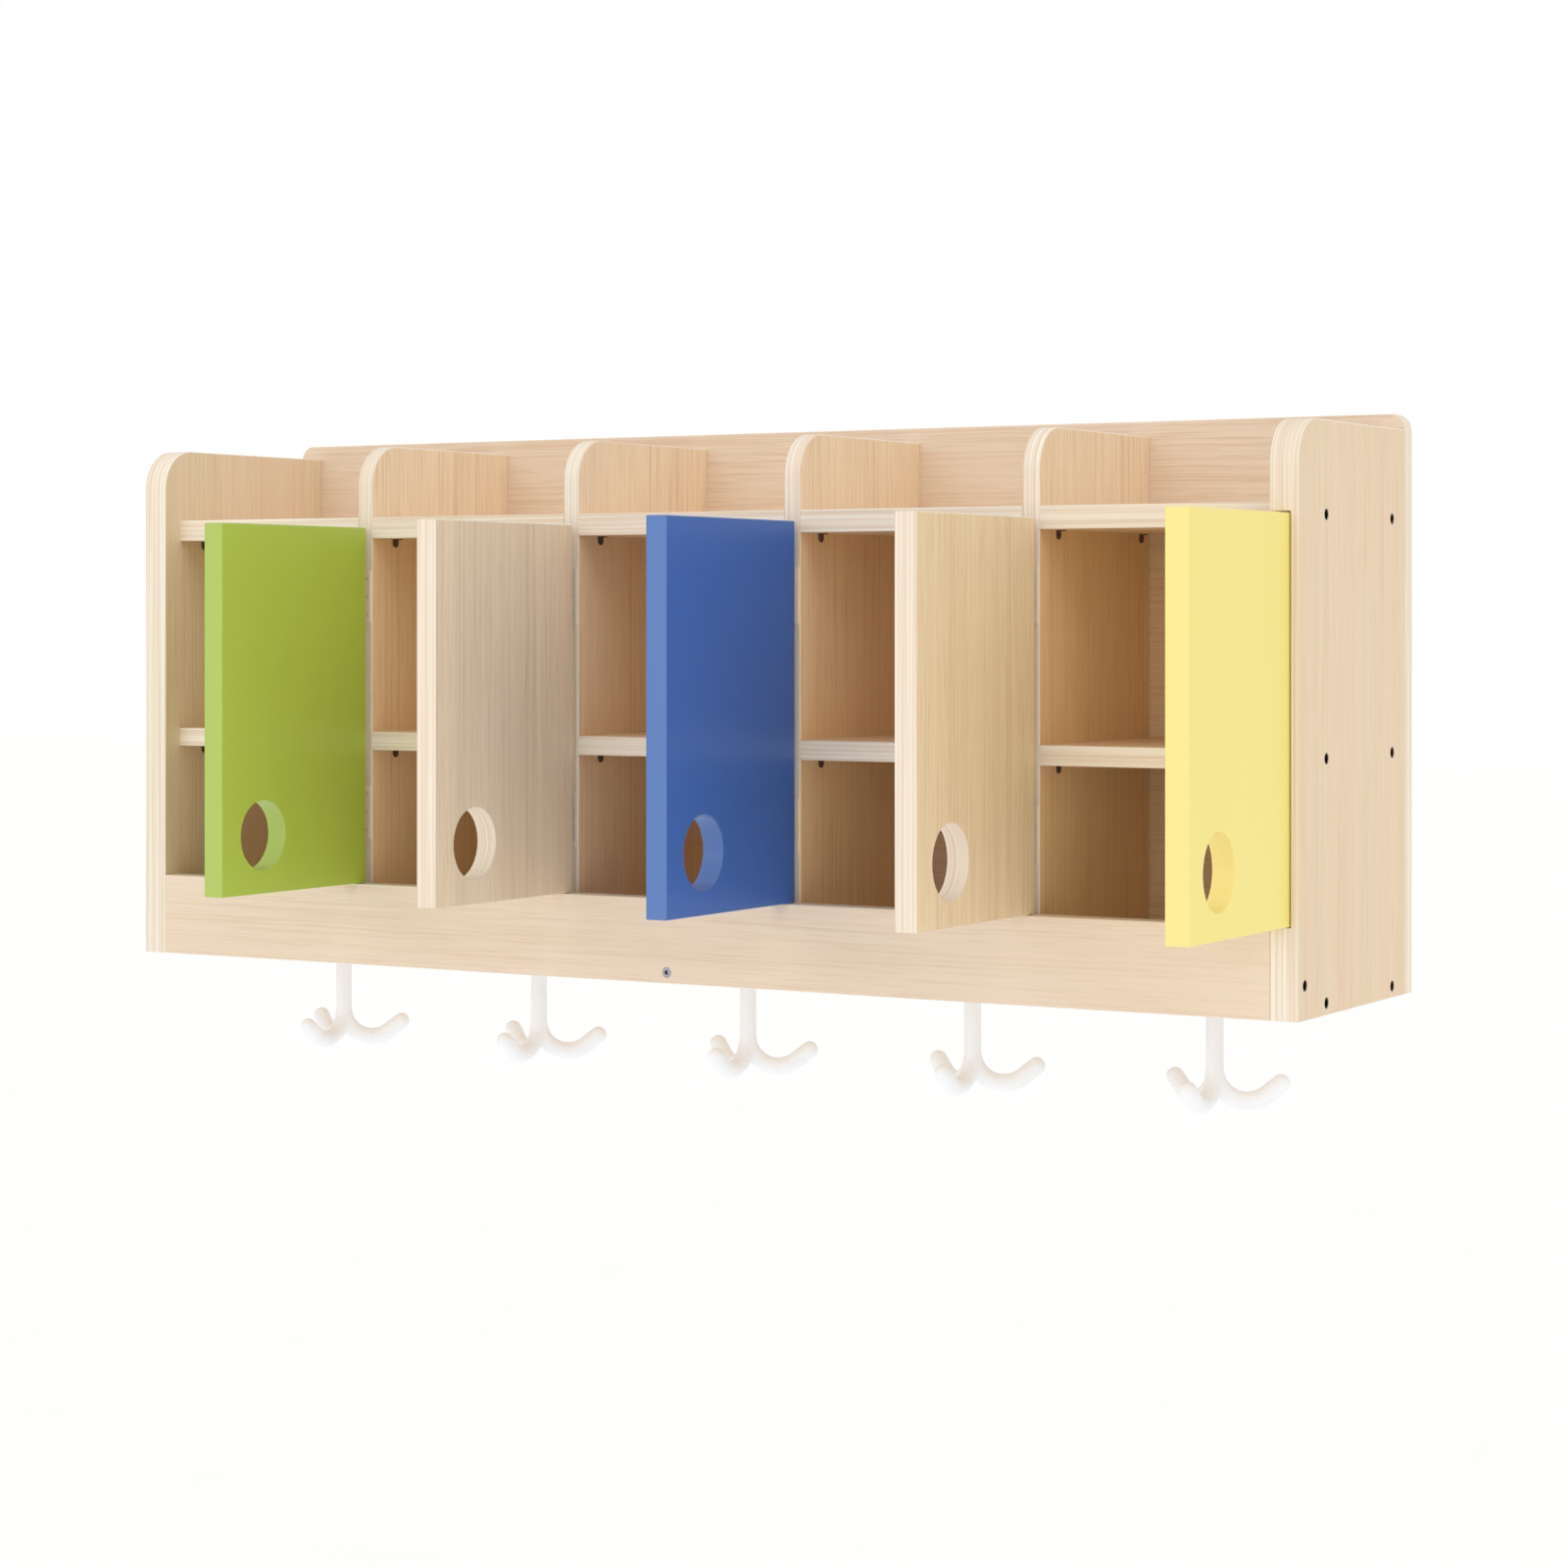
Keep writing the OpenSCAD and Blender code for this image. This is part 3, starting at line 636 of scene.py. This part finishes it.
def finish(name):
    """The material with this name, made the first time that it is asked for."""
    made = bpy.data.materials.get(name)
    if made:
        return made
    colours = bpy.context.scene.coat_rack_colours
    makers = {
        "birch_upright": lambda: laminate(name, UPRIGHT_GRAIN, colours.side, colours.side_pale,
                                          colours.birch_dark, stripes=0.55, lines=0.45, fine=330.0),
        "birch_door": lambda: laminate(name, UPRIGHT_GRAIN, colours.door, colours.birch_pale,
                                       colours.birch_dark, stripes=0.3, lines=0.5, fine=360.0),
        # Below the top shelves this laminate carries the painted locker shade
        "birch_divider": lambda: laminate(name, UPRIGHT_GRAIN, colours.birch, colours.birch_pale,
                                          colours.birch_dark, stripes=0.25, lines=0.58, fine=360.0,
                                          inside=1.0),
        "birch_level": lambda: laminate(name, LEVEL_GRAIN, colours.panel, colours.panel_pale,
                                        colours.panel_dark, stripes=0.3, lines=0.4, fine=460.0),
        # Below the top shelves this laminate carries the painted locker shade
        "birch_within": lambda: laminate(name, LEVEL_GRAIN, colours.back, colours.back_pale,
                                         colours.panel_dark, stripes=0.3, lines=0.65, fine=400.0,
                                         inside=1.0),
        "band_upright": lambda: edge_band(name, ("across", "along", "along")),
        "band_panel": lambda: edge_band(name, ("along", "across", "along")),
        "band_shelf": lambda: edge_band(name, ("along", "along", "across")),
        "green": lambda: lacquer(name, colours.green),
        "green_edge": lambda: lacquer(name, colours.green_edge),
        "blue": lambda: lacquer(name, colours.blue),
        "blue_edge": lambda: lacquer(name, colours.blue_edge),
        "yellow": lambda: lacquer(name, colours.yellow),
        "yellow_edge": lambda: lacquer(name, colours.yellow_edge),
        "ivory": lambda: moulded(name, colours.ivory, gloss=0.24, change=0.97),
        "brown": lambda: moulded(name, colours.brown, gloss=0.4, change=0.7),
        "hinge_cream": lambda: metal(name, colours.hinge, roughness=0.55, metallic=0.0, shine=0.25),
        "zinc_plate": lambda: metal(name, colours.zinc, roughness=0.3),
        "black": lambda: metal(name, colours.black, roughness=0.7, metallic=0.0, shine=0.03),
    }
    return makers[name]()


def paint(obj, *names):
    """Gives a new piece its finishes in order, or all the slots of a frame node the first one."""
    materials = obj.data.materials
    if len(materials):
        for i in range(len(materials)):
            materials[i] = finish(names[0])
    else:
        for name in names:
            materials.append(finish(name))


def paint_board(obj, face_finish, band_finish, thickness_axis):
    """Laminate on the two faces of a board, and edge band on its edges and in its holes."""
    paint(obj, face_finish, band_finish)
    level = 0.999
    for face in obj.data.polygons:
        face.material_index = 0 if abs(face.normal[thickness_axis]) > level else 1


def add_upright(name, node):
    """An upright board with its front top corner rounded, as its node's box gives it."""
    sizes = bpy.context.scene.coat_rack_boards
    lowest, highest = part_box(node)
    board = add_block(name, lowest, highest)
    round_edges(board, sizes.side_corner, lambda a, b: max(a.y, b.y) < lowest.y + NEAR
                and min(a.z, b.z) > highest.z - NEAR, steps=28)
    return board


def finish_upright(board, node, face_finish):
    """Smooths an upright and gives it its finish."""
    shade(board)
    paint_board(board, face_finish, "band_upright", X)
    hand_over(board, "case", "birch", node)


class COATRACK_OT_sides(bpy.types.Operator):
    """Adds the two side panels with their screw holes and the rebate of the right one"""
    bl_idname = "coat_rack.sides"
    bl_label = "Side panels"

    def execute(self, context):
        boards = context.scene.coat_rack_boards
        screws = context.scene.coat_rack_screws
        for node, inward in (("left_side", RIGHT), ("right_side", -RIGHT)):
            side = add_upright(node + "_board", node)
            if node == "right_side":
                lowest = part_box(node)[0]
                front, rear = lowest.y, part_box(f"top_shelf_{BAYS}")[0].y
                apron_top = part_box("front_apron")[1].z
                door_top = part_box(f"door_{BAYS}")[1].z
                combine(side, "DIFFERENCE", [add_block(
                    "rebate", Vector((lowest.x - OVERRUN, front - OVERRUN, apron_top)),
                    Vector((lowest.x + boards.rebate_width, rear, door_top + boards.rebate_over)))])
            round_edges(side, boards.edge_radius)
            places = [(place, along) for place, along in case_screw_places() if along == inward]
            combine(side, "DIFFERENCE", add_bores(
                places, screws.case_sunk + screws.case_head_depth, screws.case_head + screws.clearance))
            finish_upright(side, node, "birch_upright")
        return {"FINISHED"}


class COATRACK_OT_dividers(bpy.types.Operator):
    """Adds the four dividers"""
    bl_idname = "coat_rack.dividers"
    bl_label = "Dividers"

    def execute(self, context):
        boards = context.scene.coat_rack_boards
        for i in range(1, BAYS):
            node = upright_name(i)
            divider = add_upright(node + "_board", node)
            round_edges(divider, boards.edge_radius)
            finish_upright(divider, node, "birch_divider")
        return {"FINISHED"}


class COATRACK_OT_back_panel(bpy.types.Operator):
    """Adds the back panel with its screw holes and wall holes"""
    bl_idname = "coat_rack.back_panel"
    bl_label = "Back panel"

    def execute(self, context):
        boards = context.scene.coat_rack_boards
        screws = context.scene.coat_rack_screws
        lowest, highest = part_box("back_panel")
        panel = add_block("back_panel_board", lowest, highest)
        round_edges(panel, boards.back_corner, lambda a, b: abs(a.x - b.x) < NEAR
                    and min(a.z, b.z) > highest.z - NEAR, steps=14)
        round_edges(panel, boards.edge_radius)
        through = highest.y - lowest.y + OVERRUN
        combine(panel, "DIFFERENCE", [
            *add_bores(back_screw_places(), 2 * screws.small_sunk, screws.small_head + screws.clearance),
            *add_bores(wall_hole_places(), through, boards.wall_hole)])
        slope = (boards.wall_sink - boards.wall_hole) / boards.wall_sink_depth
        combine(panel, "DIFFERENCE", add_bores(
            wall_hole_places(), boards.wall_sink_depth, boards.wall_sink + slope * OVERRUN,
            boards.wall_hole))
        shade(panel)
        paint_board(panel, "birch_level", "band_panel", Y)
        # The front face gets the laminate that carries the painted locker shade
        panel.data.materials.append(finish("birch_within"))
        face_slot, front_slot = 0, 2
        for face in panel.data.polygons:
            if face.material_index == face_slot and face.normal.y < 0:
                face.material_index = front_slot
        hand_over(panel, "case", "birch", "back_panel")
        return {"FINISHED"}


class COATRACK_OT_shelves(bpy.types.Operator):
    """Adds the top and middle shelves with softened front edges"""
    bl_idname = "coat_rack.shelves"
    bl_label = "Shelves"

    def execute(self, context):
        boards = context.scene.coat_rack_boards
        for kind in ("top_shelf", "middle_shelf"):
            for k in LOCKERS:
                node = f"{kind}_{k}"
                lowest, highest = shelf_box(kind, k)
                shelf = add_block(node + "_board", lowest, highest)
                round_edges(shelf, boards.edge_radius, lambda a, b: max(a.y, b.y) < lowest.y + NEAR
                            and abs(a.z - b.z) < NEAR)
                shade(shelf)
                # The shelves get the laminate that carries the painted locker shade
                paint_board(shelf, "birch_within", "band_shelf", Z)
                hand_over(shelf, "case", "birch", node)
        return {"FINISHED"}


class COATRACK_OT_bottom_board(bpy.types.Operator):
    """Adds the bottom board with the sinks of its screws"""
    bl_idname = "coat_rack.bottom_board"
    bl_label = "Bottom board"

    def execute(self, context):
        screws = context.scene.coat_rack_screws
        lowest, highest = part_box("bottom_board")
        board = add_block("bottom_board_board", lowest, highest)
        combine(board, "DIFFERENCE", add_bores(
            bottom_screw_places(), 2 * screws.small_sunk, screws.small_head + screws.clearance))
        shade(board)
        paint_board(board, "birch_level", "band_shelf", Z)
        hand_over(board, "case", "birch", "bottom_board")
        return {"FINISHED"}


class COATRACK_OT_apron(bpy.types.Operator):
    """Adds the front apron with the bore of its screw"""
    bl_idname = "coat_rack.apron"
    bl_label = "Front apron"

    def execute(self, context):
        boards = context.scene.coat_rack_boards
        screws = context.scene.coat_rack_screws
        lowest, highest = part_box("front_apron")
        apron = add_block("front_apron_board", lowest, highest)
        round_edges(apron, boards.edge_radius, lambda a, b: abs(a.x - b.x) > NEAR)
        combine(apron, "DIFFERENCE", add_bores(
            apron_screw_places(), screws.apron_head_depth, screws.apron_head + screws.clearance))
        shade(apron)
        paint_board(apron, "birch_level", "band_panel", Y)
        hand_over(apron, "case", "birch", "front_apron")
        return {"FINISHED"}


class COATRACK_OT_doors(bpy.types.Operator):
    """Adds the five doors with their finger holes and rounded edges"""
    bl_idname = "coat_rack.doors"
    bl_label = "Doors"

    def execute(self, context):
        sizes = context.scene.coat_rack_doors
        for k, kind in enumerate(DOOR_PAINTS, 1):
            lowest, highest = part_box(f"door_{k}")
            door = add_block(f"locker_door_{k}_board", Vector(lowest) - UP * sizes.extra_drop, highest)
            hole = Vector((lowest.x - OVERRUN, lowest.y + sizes.hole_in, lowest.z + sizes.hole_up))
            thickness = highest.x - lowest.x
            combine(door, "DIFFERENCE", [add_rod(
                "hole", hole, RIGHT, thickness + 2 * OVERRUN, sizes.hole_radius, sides=96)])
            round_edges(door, sizes.edge_radius)
            shade(door)
            if kind == "birch":
                paint_board(door, "birch_door", "band_upright", X)
            else:
                paint_board(door, kind, kind + "_edge", X)
            slot = kind if kind == "birch" else kind + "_paint"
            hand_over(door, f"locker_door_{k}", slot, f"door_{k}")
        return {"FINISHED"}


def add_cross_screw(head, head_depth, face, shank, reach):
    """A screw with a cross recess, with its head's face at this height and its shank along +Z."""
    screw = add_rod("screw", UP * face, UP, head_depth, head, shank, sides=24)
    half_arm, half_slot, recess = 0.62 * head, 0.15 * head, 0.45 * head_depth
    for wide, narrow in ((half_arm, half_slot), (half_slot, half_arm)):
        combine(screw, "DIFFERENCE", [add_block(
            "cross", Vector((-wide, -narrow, face - OVERRUN)), Vector((wide, narrow, face + recess)))])
    shaft = add_rod("shaft", UP * (face + head_depth), UP, reach - head_depth, shank, sides=16)
    return join("screw", [screw, shaft])


def add_socket_screw(tone, head, head_depth, face, shank, reach):
    """A screw with a six-sided socket, with its head's face at this height and its shank along +Z."""
    sizes = bpy.context.scene.coat_rack_screws
    screw = add_rod("screw", UP * face, UP, head_depth, head, sides=40)
    rim, deepest = 0.0003, 0.7 * head_depth
    round_edges(screw, rim, lambda a, b: max(a.z, b.z) < face + NEAR)
    depth = min(sizes.socket_depth, deepest)
    combine(screw, "DIFFERENCE", [add_rod(
        "socket", UP * (face - OVERRUN), UP, OVERRUN + depth, sizes.socket, sides=6)])
    paint(screw, tone, "black")
    # Painted shade: the walls of the socket take black, for the shade in the recess; the head and the
    # socket's floor keep the screw's tone
    for side in screw.data.polygons:
        inside = NEAR < side.center.xy.length < sizes.socket and face + NEAR < side.center.z
        side.material_index = int(inside and side.center.z < face + depth)
    shaft = add_rod("shaft", UP * (face + head_depth), UP, reach - head_depth, shank, sides=24)
    paint(shaft, tone)
    return join("screw", [screw, shaft])


class COATRACK_OT_screws(bpy.types.Operator):
    """Adds the screws of the case, the apron, the back panel, the bottom board and the hooks"""
    bl_idname = "coat_rack.screws"
    bl_label = "Screws"

    def execute(self, context):
        sizes = context.scene.coat_rack_screws
        case = add_socket_screw("black", sizes.case_head, sizes.case_head_depth, sizes.case_sunk,
                                sizes.case_shank, sizes.case_length)
        apron = add_socket_screw("zinc_plate", sizes.apron_head, sizes.apron_head_depth, 0.0,
                                 sizes.small_shank, sizes.panel_length)
        panel = [add_cross_screw(sizes.small_head, sizes.small_head_depth, sizes.small_sunk,
                                 sizes.small_shank, sizes.panel_length) for _ in range(2)]
        foot = add_cross_screw(sizes.small_head, sizes.small_head_depth, sizes.small_sunk,
                               sizes.small_shank, sizes.foot_length)
        hook_places = [place for k in LOCKERS for place in hook_screw_places(hook_place(k))]
        groups = (
            ("case_screws", case, case_screw_places(), "black_steel"),
            ("apron_screw", apron, apron_screw_places(), "zinc"),
            ("back_screws", panel[0], back_screw_places(), "zinc"),
            ("bottom_screws", panel[1], bottom_screw_places(), "zinc"),
            ("hook_screws", foot, hook_places, "zinc"),
        )
        for node, pattern, places, slot in groups:
            screws = repeat(node + "_set", pattern, places)
            shade(screws)
            if not screws.data.materials:
                paint(screws, "zinc_plate")
            hand_over(screws, "case", slot, node)
        return {"FINISHED"}


class COATRACK_OT_hinges(bpy.types.Operator):
    """Gives the hinges their cream lacquer and adds the screws of their leaves"""
    bl_idname = "coat_rack.hinges"
    bl_label = "Hinges"

    def execute(self, context):
        for k in LOCKERS:
            for part in ("hinge_frame_leaves", "hinge_door_leaves", "hinge_pins"):
                paint(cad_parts[f"{part}_{k}"], "hinge_cream")
            self.add_leaf_screws(f"hinge_frame_leaves_{k}", "case", REARWARD)
            self.add_leaf_screws(f"hinge_door_leaves_{k}", f"locker_door_{k}", -REARWARD)
        return {"FINISHED"}

    @staticmethod
    def add_leaf_screws(node, body, inward):
        """Three screws in each of the two leaves of a node, driven along a direction."""
        sizes = bpy.context.scene.coat_rack_screws
        thickness, height = sizes.leaf_thickness, sizes.leaf_height
        lowest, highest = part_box(node)
        face = highest.y - thickness if inward.y > 0 else lowest.y + thickness
        height_shares = (0.16, 0.5, 0.84)
        screw = add_cross_screw(sizes.hinge_head, sizes.hinge_rise + thickness, -sizes.hinge_rise,
                                sizes.hinge_shank, sizes.hinge_length)
        places = [(Vector((highest.x - sizes.leaf_margin, face, bottom + share * height)), inward)
                  for bottom in (lowest.z, highest.z - height) for share in height_shares]
        screws = repeat(node + "_screws", screw, places)
        shade(screws)
        paint(screws, "zinc_plate")
        hand_over(screws, body, "zinc")


class COATRACK_OT_hooks(bpy.types.Operator):
    """Adds the five moulded hooks"""
    bl_idname = "coat_rack.hooks"
    bl_label = "Hooks"

    def execute(self, context):
        pattern = self.mould(context.scene.coat_rack_hooks, context.scene.coat_rack_screws)
        for k in LOCKERS:
            hook = copy_to(pattern, hook_place(k), UP)
            hook.name = hook.data.name = f"hook_{k}_moulded"
            paint(hook, "ivory")
            hand_over(hook, "case", "white_plastic", f"hook_{k}")
        bpy.data.meshes.remove(pattern.data)
        return {"FINISHED"}

    @staticmethod
    def add_arm(sizes, turn):
        """A bent arm with a round tip, which starts under the post."""
        faces_round, tip_rings = 32, 24
        bpy.ops.object.select_all(action="DESELECT")
        bpy.ops.mesh.primitive_circle_add(
            vertices=faces_round, radius=sizes.arm_radius, fill_type="NGON", location=(0, 0, -sizes.drop))
        arm = added("arm")
        bpy.ops.object.mode_set(mode="EDIT")
        bpy.ops.mesh.select_all(action="SELECT")
        bpy.ops.mesh.spin(steps=32, angle=sizes.turn, center=(sizes.bend_radius, 0, -sizes.drop),
                          axis=REARWARD)
        along = Vector((math.sin(sizes.turn), 0, -math.cos(sizes.turn)))
        bpy.ops.mesh.extrude_region_move(TRANSFORM_OT_translate={"value": along * sizes.tail})
        bpy.ops.mesh.select_all(action="SELECT")
        bpy.ops.mesh.remove_doubles(threshold=NEAR / 10)
        bpy.ops.mesh.normals_make_consistent(inside=False)
        bpy.ops.object.mode_set(mode="OBJECT")
        outward = sizes.bend_radius * (1 - math.cos(sizes.turn))
        down = sizes.drop + sizes.bend_radius * math.sin(sizes.turn)
        bpy.ops.object.select_all(action="DESELECT")
        bpy.ops.mesh.primitive_uv_sphere_add(
            segments=faces_round, ring_count=tip_rings, radius=sizes.arm_radius,
            location=Vector((outward, 0, -down)) + along * sizes.tail)
        arm = join("arm", [arm, added("tip")])
        arm.rotation_euler.z = turn
        return settle(arm)

    @classmethod
    def mould(cls, sizes, screws):
        """One hook, drawn below the origin."""
        inset = sizes.foot_thickness / 4
        post = add_rod("post", -UP * inset, -UP, sizes.drop - inset, sizes.post_radius)
        body = join("hook", [post, *(cls.add_arm(sizes, turn) for turn in HOOK_TURNS)])
        apply_modifier(body, "REMESH", mode="VOXEL", voxel_size=sizes.mesh_size)
        apply_modifier(body, "SMOOTH", factor=0.5, iterations=sizes.passes)
        foot = add_rod("foot", Vector(), -UP, sizes.foot_thickness, sizes.foot_radius, sides=64)
        round_edges(foot, sizes.foot_edge, lambda a, b: max(a.z, b.z) < -sizes.foot_thickness + NEAR)
        combine(foot, "DIFFERENCE", add_bores(
            hook_screw_places(Vector()), 2 * screws.small_sunk, screws.small_head + screws.clearance))
        combine(foot, "UNION", [body])
        pick(foot)
        bpy.ops.object.shade_smooth_by_angle(angle=SMOOTH)
        return foot


class COATRACK_OT_shelf_supports(bpy.types.Operator):
    """Adds the shelf supports, four for each shelf"""
    bl_idname = "coat_rack.shelf_supports"
    bl_label = "Shelf supports"

    def execute(self, context):
        sizes = context.scene.coat_rack_screws
        half, limb = sizes.support_width / 2, sizes.support_limb
        support = add_block("support", Vector((0, -half, -sizes.support_drop)), Vector((limb, half, 0)))
        round_edges(support, half - NEAR, lambda a, b: abs(a.x - b.x) > NEAR
                    and max(a.z, b.z) < -sizes.support_drop + NEAR, steps=8)
        combine(support, "UNION", [add_block(
            "flange", Vector((limb / 2, -half, -sizes.support_flange)),
            Vector((sizes.support_reach, half, 0)))])
        centre = Vector((limb / 2, 0, half - sizes.support_drop))
        combine(support, "UNION", [add_rod(
            "peg", centre, -RIGHT, sizes.support_peg_length + limb / 2, sizes.support_peg, sides=20)])
        combine(support, "DIFFERENCE", [add_rod(
            "dimple", centre, RIGHT, limb, sizes.support_dimple, sides=20)])
        round_edges(support, sizes.support_edge, steps=2)
        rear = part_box("left_side")[1].y
        copies = []
        for kind in ("top_shelf", "middle_shelf"):
            for k in LOCKERS:
                lowest, highest = shelf_box(kind, k)
                for y in (lowest.y + sizes.support_front, rear - sizes.support_rear):
                    for x, turn in ((lowest.x, 0.0), (highest.x, math.pi)):
                        copies.append(copy_to(support, Vector((x, y, lowest.z)), UP, turn))
        bpy.data.meshes.remove(support.data)
        supports = join("shelf_supports_set", copies)
        shade(supports)
        paint(supports, "brown")
        hand_over(supports, "case", "brown_plastic", "shelf_supports")
        return {"FINISHED"}


class COATRACK_OT_stage(bpy.types.Operator):
    """Adds the camera, the pale floor and the soft light"""
    bl_idname = "coat_rack.stage"
    bl_label = "Stage"

    def execute(self, context):
        stage = context.scene.coat_rack_stage
        bpy.ops.object.select_all(action="DESELECT")
        bpy.ops.object.camera_add(
            location=stage.camera_place, rotation=(math.radians(90), 0, stage.camera_turn))
        camera = context.active_object
        camera.data.lens = stage.lens
        camera.data.shift_y = stage.shift
        context.scene.camera = camera
        bpy.ops.object.select_all(action="DESELECT")
        bpy.ops.mesh.primitive_plane_add(
            size=stage.floor_size, location=(0, 0, CAD_BOX[0].z - stage.floor_drop))
        floor = added("pale_floor")
        material, tree, surface = new_material("floor", {
            "Roughness": 0.9, "Specular IOR Level": 0.0, "Emission Color": (1.0, 1.0, 1.0, 1.0),
            "Emission Strength": stage.floor_glow})
        cloud = streaks(tree, object_place(tree), (2.0,) * 3, 2.0)
        tone = context.scene.coat_rack_colours.floor
        paler = tuple(min(1.0, 1.02 * channel) for channel in tone)
        tree.links.new(mixed(tree, tone, paler, cloud), surface.inputs["Base Color"])
        floor.data.materials.append(material)
        world = bpy.data.worlds.new("studio")
        world.use_nodes = True
        tree = world.node_tree
        white = (1.0, 1.0, 1.0, 1.0)
        light = tree.nodes["Background"]
        light.inputs["Color"].default_value = white
        light.inputs["Strength"].default_value = stage.sky
        backdrop = add_node(tree, "ShaderNodeBackground", {"Color": white, "Strength": 1.0})
        seen = add_node(tree, "ShaderNodeLightPath", {}).outputs["Is Camera Ray"]
        both = add_node(tree, "ShaderNodeMixShader", {
            0: seen, 1: light.outputs["Background"], 2: backdrop.outputs["Background"]})
        tree.links.new(both.outputs["Shader"], tree.nodes["World Output"].inputs["Surface"])
        context.scene.world = world
        for rise, turn, energy in ((stage.front_rise, stage.front_turn, stage.front),
                                   (stage.side_rise, stage.side_turn, stage.side)):
            bpy.ops.object.select_all(action="DESELECT")
            bpy.ops.object.light_add(type="SUN", rotation=(math.radians(90) - rise, 0, turn))
            lamp = context.active_object
            lamp.data.energy = energy
            lamp.data.angle = stage.softness
        context.scene.view_settings.view_transform = "Standard"
        return {"FINISHED"}


OPERATORS = (
    COATRACK_OT_stage,
    COATRACK_OT_sides,
    COATRACK_OT_dividers,
    COATRACK_OT_back_panel,
    COATRACK_OT_shelves,
    COATRACK_OT_bottom_board,
    COATRACK_OT_apron,
    COATRACK_OT_doors,
    COATRACK_OT_hinges,
    COATRACK_OT_screws,
    COATRACK_OT_hooks,
    COATRACK_OT_shelf_supports,
)


class COATRACK_PT_panel(bpy.types.Panel):
    """Lists the steps and the sizes and colours of the coat rack"""
    bl_idname = "COATRACK_PT_panel"
    bl_label = "Coat rack"
    bl_space_type = "VIEW_3D"
    bl_region_type = "UI"
    bl_category = "Coat rack"

    def draw(self, context):
        for name, group in GROUPS.items():
            box = self.layout.box()
            for size in group.__annotations__:
                box.prop(getattr(context.scene, name), size)
        for operator in OPERATORS:
            self.layout.operator(operator.bl_idname)


CLASSES = (*GROUPS.values(), *OPERATORS, COATRACK_PT_panel)


def register():
    for item in CLASSES:
        bpy.utils.register_class(item)
    for name, group in GROUPS.items():
        setattr(bpy.types.Scene, name, bpy.props.PointerProperty(type=group))


def unregister():
    for name in GROUPS:
        delattr(bpy.types.Scene, name)
    for item in reversed(CLASSES):
        bpy.utils.unregister_class(item)


def write_sizes():
    """Updates the view layer."""
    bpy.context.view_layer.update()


def main():
    register()
    for operator in OPERATORS:
        step = operator.bl_idname.split(".")[1]
        getattr(bpy.ops.coat_rack, step)()
    write_sizes()


if __name__ == "__main__":
    main()
